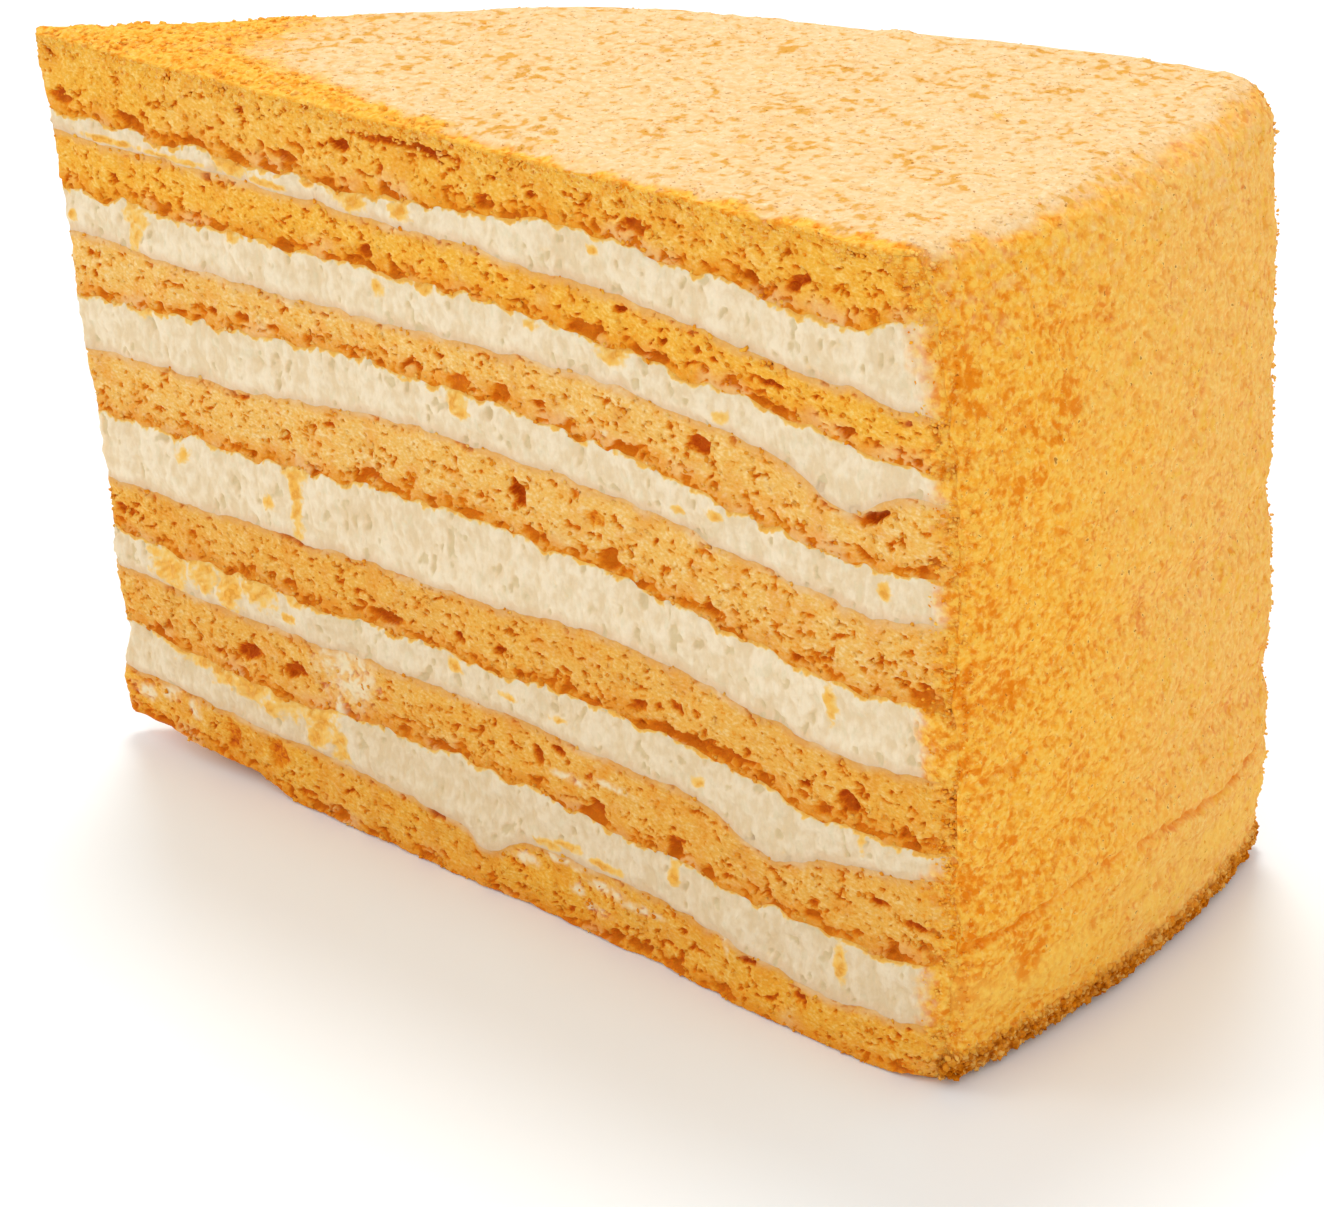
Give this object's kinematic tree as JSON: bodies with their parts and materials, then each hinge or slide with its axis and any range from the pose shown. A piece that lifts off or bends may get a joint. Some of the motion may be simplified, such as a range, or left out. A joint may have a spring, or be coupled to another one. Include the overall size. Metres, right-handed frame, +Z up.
{
  "type": "honey cake slice",
  "caption": "Cut wedge of tall layered honey cake: sponge and cream layers in turn, with a coat of fine crumbs over its top and curved rim.",
  "frame": {"origin": "middle of the slice's bounding box, on the flat base it stands on", "axes": "+X from the tip towards the crumb-coated rim, +Y from the long front cut towards the back cut, +Z up through the layers"},
  "size_m": [0.1188, 0.055, 0.0825],
  "materials": {
    "sponge": "golden honey sponge with open pores, matt and soft",
    "cream": "ivory sour cream filling, soft and slightly moist",
    "crumb_coat": "fine dry cake crumbs pressed on, matt and grainy"
  },
  "bodies": {
    "root": {"sponge_1": "sponge", "cream_1": "cream", "sponge_2": "sponge", "cream_2": "cream", "sponge_3": "sponge", "cream_3": "cream", "sponge_4": "sponge", "cream_4": "cream", "sponge_5": "sponge", "cream_5": "cream", "sponge_6": "sponge", "cream_6": "cream", "sponge_7": "sponge", "crumb_coat": "crumb_coat"}
  },
  "joints": []
}
